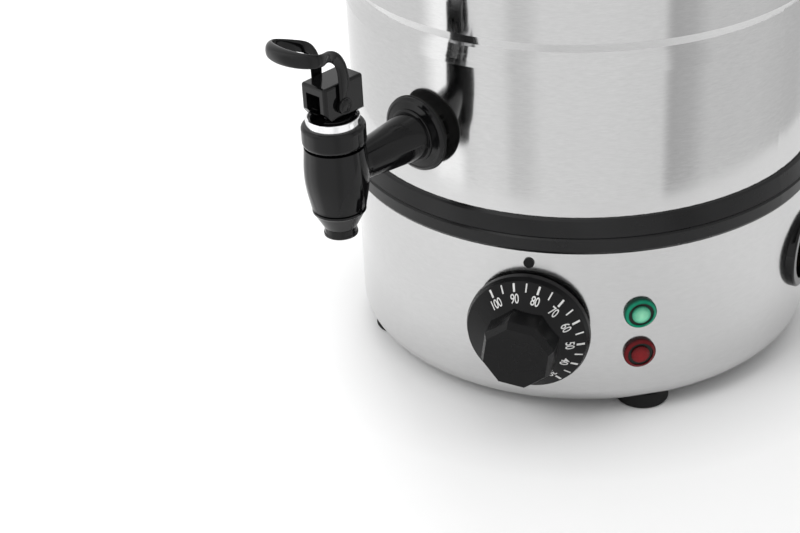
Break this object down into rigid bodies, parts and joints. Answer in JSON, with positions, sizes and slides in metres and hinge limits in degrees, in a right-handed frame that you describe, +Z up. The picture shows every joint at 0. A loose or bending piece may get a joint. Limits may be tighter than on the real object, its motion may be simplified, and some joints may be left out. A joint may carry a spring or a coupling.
{
  "type": "hot water urn",
  "caption": "Steel drum urn for hot water with a loop-lever tap, a temperature dial, pilot lamps, side handles and a lift-off lid.",
  "frame": {"origin": "on the drum's axis at the level of the table that the feet stand on", "axes": "+Z up, -Y along the tap, the dial and pilot lamps on the +X side of the tap"},
  "size_m": [0.282, 0.2919, 0.4587],
  "materials": {
    "satin_steel": "satin",
    "polished_steel": "polished",
    "inox": "satin",
    "chrome": "polished",
    "brass": "satin",
    "black_plastic": "satin",
    "tap_plastic": "gloss",
    "rubber": "matt",
    "green_lens": "translucent",
    "red_lens": "translucent",
    "lamp_dark": "gloss",
    "white_plastic": "matt"
  },
  "bodies": {
    "urn": {"base_shell": "satin_steel", "bottom_plate": "satin_steel", "feet": "rubber", "foot_screws": "inox", "trim_ring": "black_plastic", "tank_shell": "polished_steel", "tank_floor": "polished_steel", "heating_element": "inox", "element_glands": "brass", "floor_nuts": "brass", "sensor_pocket": "inox", "sensor_bulb": "brass", "capillary": "brass", "thermostat_body": "white_plastic", "thermostat_plate": "satin_steel", "thermostat_tabs": "inox", "boil_dry_cutout": "white_plastic", "cutout_tabs": "inox", "terminal_block": "black_plastic", "dial_seal": "rubber", "index_stud": "black_plastic", "lamp_green": "green_lens", "lamp_red": "red_lens", "lamp_inserts": "lamp_dark", "lamp_bodies": "white_plastic", "inlet_shroud": "black_plastic", "inlet_pins": "brass", "tap_body": "tap_plastic", "tap_washer": "rubber", "tap_inner_washer": "rubber", "tap_locknut": "black_plastic", "tap_bonnet": "tap_plastic", "tap_collar": "tap_plastic", "tap_ring": "chrome", "tap_yoke": "tap_plastic", "stem_seal": "rubber", "stem_spring": "inox", "handle_right": "black_plastic", "handle_left": "black_plastic", "handle_brackets": "satin_steel"},
    "dial": {"dial_skirt": "black_plastic", "dial_grip": "black_plastic", "dial_spindle": "inox"},
    "lever": {"tap_lever": "tap_plastic", "lever_pin": "inox", "lever_cam": "tap_plastic"},
    "stem": {"valve_stem": "tap_plastic", "valve_disc": "rubber"},
    "lid": {"lid_shell": "polished_steel", "lid_plug": "polished_steel", "lid_pad": "rubber", "lid_knob": "black_plastic", "lid_screw": "inox"}
  },
  "joints": [
    {"name": "dial_turn", "type": "hinge", "parent": "urn", "child": "dial", "pos_m": [0.04702, -0.09389, 0.0465], "axis": [0.4478, -0.8942, 0], "range_deg": [-40, 168]},
    {"name": "lever_press", "type": "hinge", "parent": "urn", "child": "lever", "pos_m": [0, -0.1561, 0.1627], "axis": [1, 0, 0], "range_deg": [0, 35], "stiffness_Nm_per_rad": 0.02, "springref_deg": -22.92},
    {"name": "stem_travel", "type": "slide", "parent": "urn", "child": "stem", "axis": [0, 0, 1], "range_m": [-0.0016, 0], "stiffness_N_per_m": 2, "springref_m": 0.03, "deforming": ["stem_spring"]},
    {"name": "lid_lift", "type": "slide", "parent": "urn", "child": "lid", "axis": [0, 0, 1], "range_m": [0, 0.12]}
  ],
  "couplings": [
    {"joint": "stem_travel", "follows": "lever_press", "m_per_rad": -0.0026}
  ]
}
